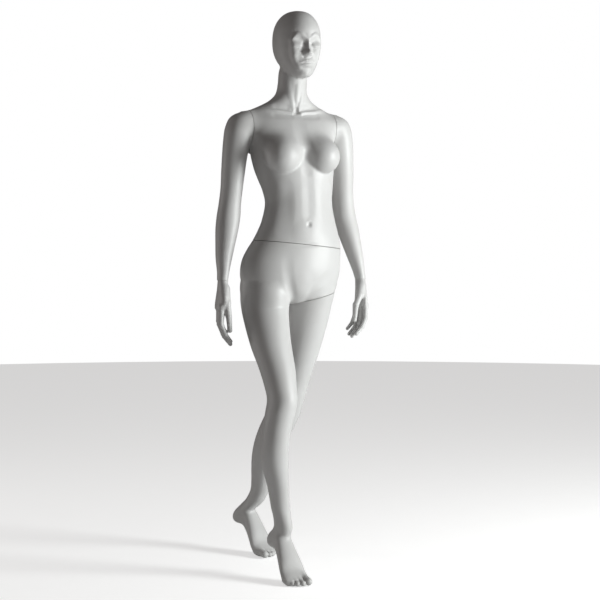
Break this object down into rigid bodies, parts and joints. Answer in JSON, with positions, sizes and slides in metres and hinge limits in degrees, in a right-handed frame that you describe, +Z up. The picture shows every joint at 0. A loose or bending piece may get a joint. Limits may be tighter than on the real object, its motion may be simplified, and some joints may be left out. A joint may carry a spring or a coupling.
{
  "type": "full body mannequin",
  "caption": "Full-body walking mannequin with matte fibreglass shells that part at the waist, one thigh, the shoulders and the wrists, standing on raised heels.",
  "frame": {"origin": "centre of the figure's outline on the floor plane, under the lowest toes", "axes": "+Z up towards the head, -Y the way the chest faces, +X towards the figure's own left"},
  "size_m": [0.5444, 0.6536, 1.8407],
  "materials": {
    "shell": "matte sprayed grey over fibreglass",
    "board": "painted composite board",
    "steel": "zinc plated",
    "dark_steel": "blackened",
    "nylon": "moulded"
  },
  "bodies": {
    "supporting_half": {"pelvis_right_leg_shell": "shell", "foot_socket": "steel", "calf_socket": "steel", "waist_lower_plate": "board", "waist_post": "steel", "waist_lower_screw_1": "dark_steel", "waist_lower_screw_2": "dark_steel", "thigh_upper_plate": "board", "thigh_socket": "steel", "thigh_upper_screw_1": "dark_steel", "thigh_upper_screw_2": "dark_steel"},
    "torso": {"torso_shell": "shell", "waist_upper_plate": "board", "waist_socket": "steel", "waist_upper_screw_1": "dark_steel", "waist_upper_screw_2": "dark_steel", "left_shoulder_plate": "board", "right_shoulder_plate": "board", "left_shoulder_magnet": "dark_steel", "right_shoulder_magnet": "dark_steel"},
    "left_leg": {"left_leg_shell": "shell", "thigh_lower_plate": "board", "thigh_peg": "steel", "thigh_lower_screw_1": "dark_steel", "thigh_lower_screw_2": "dark_steel"},
    "left_shoulder_turn": {"left_shoulder_bush": "nylon", "left_shoulder_keeper": "steel"},
    "left_arm": {"left_arm_shell": "shell", "left_arm_plate": "board", "left_arm_spigot": "steel", "left_arm_screw_1": "dark_steel", "left_arm_screw_2": "dark_steel", "left_wrist_plate": "board"},
    "left_wrist_turn": {"left_wrist_bush": "nylon", "left_wrist_keeper": "steel"},
    "left_hand": {"left_hand": "shell", "left_hand_spigot": "steel"},
    "right_shoulder_turn": {"right_shoulder_bush": "nylon", "right_shoulder_keeper": "steel"},
    "right_arm": {"right_arm_shell": "shell", "right_arm_plate": "board", "right_arm_spigot": "steel", "right_arm_screw_1": "dark_steel", "right_arm_screw_2": "dark_steel", "right_wrist_plate": "board"},
    "right_wrist_turn": {"right_wrist_bush": "nylon", "right_wrist_keeper": "steel"},
    "right_hand": {"right_hand": "shell", "right_hand_spigot": "steel"}
  },
  "joints": [
    {"name": "torso_lift", "type": "slide", "parent": "supporting_half", "child": "torso", "axis": [0.0956, 0, 0.9954], "range_m": [0, 0.085]},
    {"name": "left_leg_pull", "type": "slide", "parent": "supporting_half", "child": "left_leg", "axis": [0.2425, 0, -0.9701], "range_m": [0, 0.065]},
    {"name": "left_shoulder_swing", "type": "hinge", "parent": "torso", "child": "left_shoulder_turn", "pos_m": [0.15587, -0.06505, 1.46368], "axis": [-1, 0, 0], "range_deg": [-25, 60]},
    {"name": "left_arm_pull", "type": "slide", "parent": "left_shoulder_turn", "child": "left_arm", "axis": [1, 0, 0], "range_m": [0, 0.05]},
    {"name": "left_wrist_twist", "type": "hinge", "parent": "left_arm", "child": "left_wrist_turn", "pos_m": [0.25487, -0.09405, 0.95868], "axis": [0, 0, 1], "range_deg": [-60, 60]},
    {"name": "left_hand_pull", "type": "slide", "parent": "left_wrist_turn", "child": "left_hand", "axis": [0, 0, -1], "range_m": [0, 0.03]},
    {"name": "right_shoulder_swing", "type": "hinge", "parent": "torso", "child": "right_shoulder_turn", "pos_m": [-0.14413, -0.06505, 1.46368], "axis": [-1, 0, 0], "range_deg": [-25, 60]},
    {"name": "right_arm_pull", "type": "slide", "parent": "right_shoulder_turn", "child": "right_arm", "axis": [-1, 0, 0], "range_m": [0, 0.05]},
    {"name": "right_wrist_twist", "type": "hinge", "parent": "right_arm", "child": "right_wrist_turn", "pos_m": [-0.24313, -0.09405, 0.95868], "axis": [0, 0, 1], "range_deg": [-60, 60]},
    {"name": "right_hand_pull", "type": "slide", "parent": "right_wrist_turn", "child": "right_hand", "axis": [0, 0, -1], "range_m": [0, 0.03]}
  ]
}
